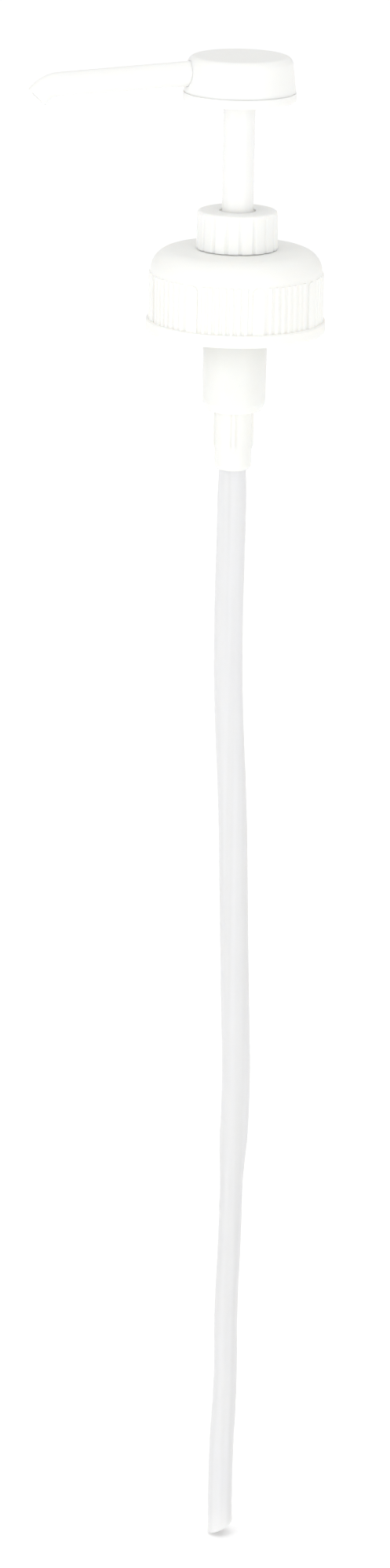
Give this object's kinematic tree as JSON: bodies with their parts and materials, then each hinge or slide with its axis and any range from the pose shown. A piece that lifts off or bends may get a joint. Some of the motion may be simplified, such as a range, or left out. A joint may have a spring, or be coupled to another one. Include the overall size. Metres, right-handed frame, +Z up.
{
  "type": "canister dispensing pump",
  "caption": "Hand pump for a canister: swivelling push head with a bent spout, spring-returned piston, wide ribbed screw cap and a long bowed dip tube.",
  "frame": {"origin": "on the pump's axis, in the plane of the gasket's underside, where the canister's neck ends", "axes": "+Z up along the pump's axis towards the push head, -X along the spout, -Z down the dip tube"},
  "size_m": [0.116, 0.0686, 0.6094],
  "materials": {
    "white_head": "moulded polypropylene, satin",
    "white_spout": "moulded polypropylene, satin",
    "white_stem": "moulded polypropylene, smooth",
    "white_collar": "moulded polypropylene, satin",
    "white_cap": "moulded polyethylene, satin",
    "white_polypropylene": "moulded polypropylene, slightly clouded",
    "natural_polyethylene": "moulded, uncoloured",
    "natural_tube": "extruded, uncoloured and clouded",
    "soft_gasket": "soft polyethylene foam and elastomer",
    "stainless_wire": "drawn wire",
    "stainless_ball": "polished ball"
  },
  "bodies": {
    "housing": {"pump_body": "white_polypropylene", "collar_nut": "white_collar", "guide_seal": "soft_gasket", "stem_guide": "natural_polyethylene", "stem_wiper": "soft_gasket", "neck_gasket": "soft_gasket", "ball_cage": "natural_polyethylene", "dip_tube": "natural_tube", "return_spring": "stainless_wire"},
    "cap": {"screw_cap": "white_cap"},
    "piston": {"piston_seal": "soft_gasket"},
    "plunger": {"stem": "white_stem", "piston_carrier": "natural_polyethylene", "outlet_cage": "natural_polyethylene", "head_base": "white_head", "head_shell": "white_head", "spout": "white_spout"},
    "suction_ball": {"inlet_ball": "stainless_ball"},
    "upper_ball": {"outlet_ball": "stainless_ball"}
  },
  "joints": [
    {"name": "pump_stroke", "type": "slide", "parent": "housing", "child": "piston", "axis": [0, 0, -1], "range_m": [0, 0.038], "stiffness_N_per_m": 300, "springref_m": -0.03, "deforming": ["return_spring"]},
    {"name": "head_swivel", "type": "hinge", "parent": "piston", "child": "plunger", "pos_m": [0, 0, 0.0663], "axis": [0, 0, 1], "continuous": true},
    {"name": "cap_turn", "type": "hinge", "parent": "housing", "child": "cap", "pos_m": [0, 0, 0.0042], "axis": [0, 0, 1], "continuous": true},
    {"name": "inlet_ball_lift", "type": "slide", "parent": "housing", "child": "suction_ball", "axis": [0, 0, 1], "range_m": [0, 0.0025]},
    {"name": "outlet_ball_lift", "type": "slide", "parent": "plunger", "child": "upper_ball", "axis": [0, 0, 1], "range_m": [0, 0.002]}
  ]
}
